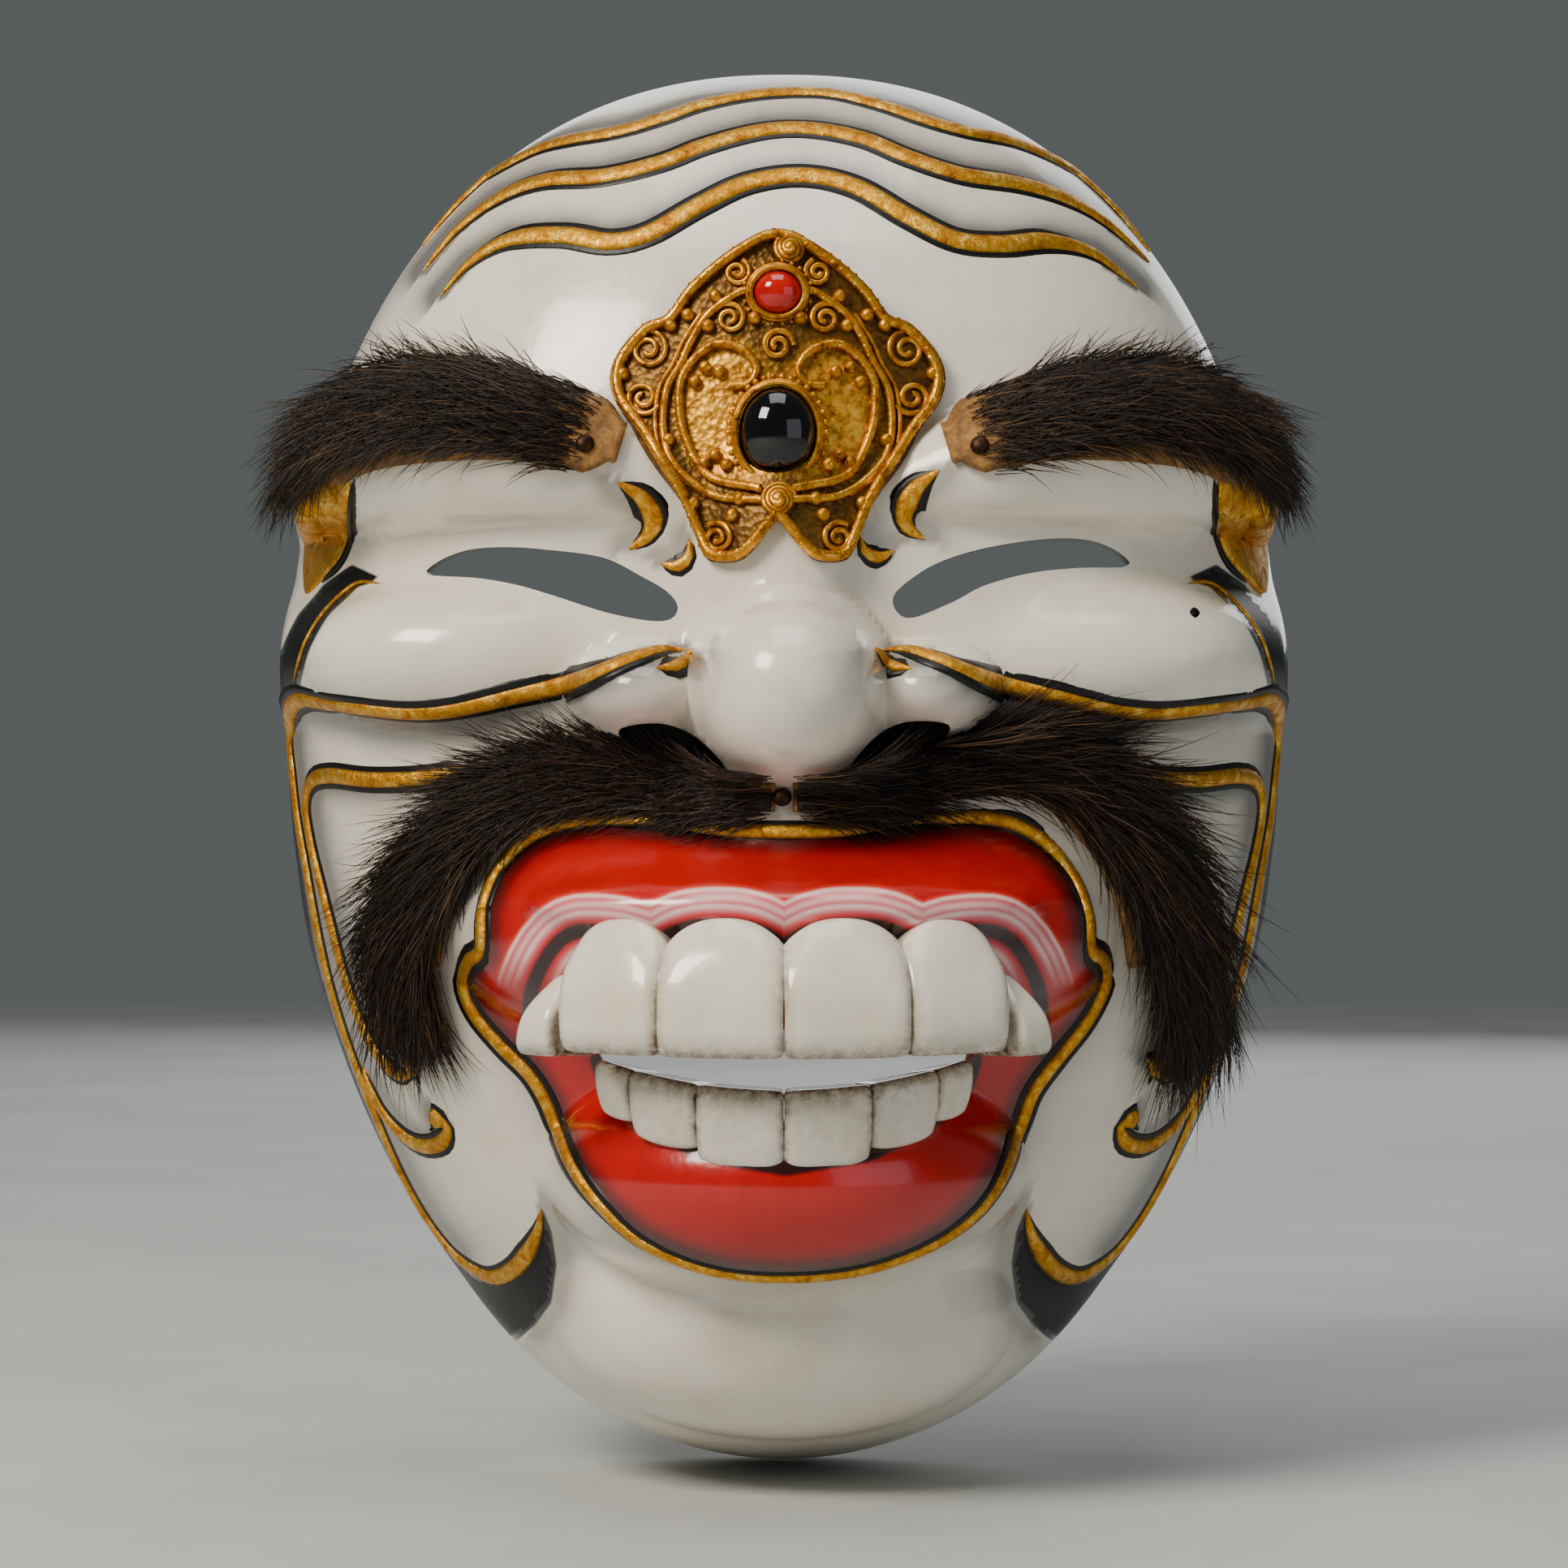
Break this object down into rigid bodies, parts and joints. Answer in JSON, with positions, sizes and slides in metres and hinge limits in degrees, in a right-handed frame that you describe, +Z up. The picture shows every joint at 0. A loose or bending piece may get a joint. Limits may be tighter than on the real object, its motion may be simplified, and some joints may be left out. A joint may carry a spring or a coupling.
{
  "type": "carved theatre mask",
  "caption": "Carved and painted wooden theatre mask with inset teeth, slit eyes, hair brows and moustache, and a gilt brow jewel; hollow back with strap holes.",
  "frame": {"origin": "middle of the flat back rim, where the mask meets a face or a wall", "axes": "+Z up towards the crown, -Y out of the face, +X to the viewer's right"},
  "size_m": [0.1588, 0.0884, 0.2051],
  "materials": {
    "painted_wood": "gloss paint over carved light wood, bare inside",
    "tooth_bone": "polished shell or bone",
    "hide": "raw hide strip",
    "hair": "coarse dark animal hair",
    "tack_metal": "dull small tacks",
    "gilt_brass": "old gilding with brown in the hollows",
    "red_stone": "polished red cabochon",
    "black_stone": "polished black cabochon"
  },
  "bodies": {
    "root": {"mask_shell": "painted_wood", "upper_teeth": "tooth_bone", "lower_teeth": "tooth_bone", "left_brow_hide": "hide", "right_brow_hide": "hide", "left_moustache_hide": "hide", "right_moustache_hide": "hide", "left_brow_hair": "hair", "right_brow_hair": "hair", "left_moustache_hair": "hair", "right_moustache_hair": "hair", "hide_tacks": "tack_metal", "ornament_plate": "gilt_brass", "ornament_border": "gilt_brass", "ornament_scrolls": "gilt_brass", "ornament_granules": "gilt_brass", "ornament_studs": "gilt_brass", "red_stone": "red_stone", "red_stone_collar": "gilt_brass", "black_stone": "black_stone", "black_stone_collar": "gilt_brass"}
  },
  "joints": []
}
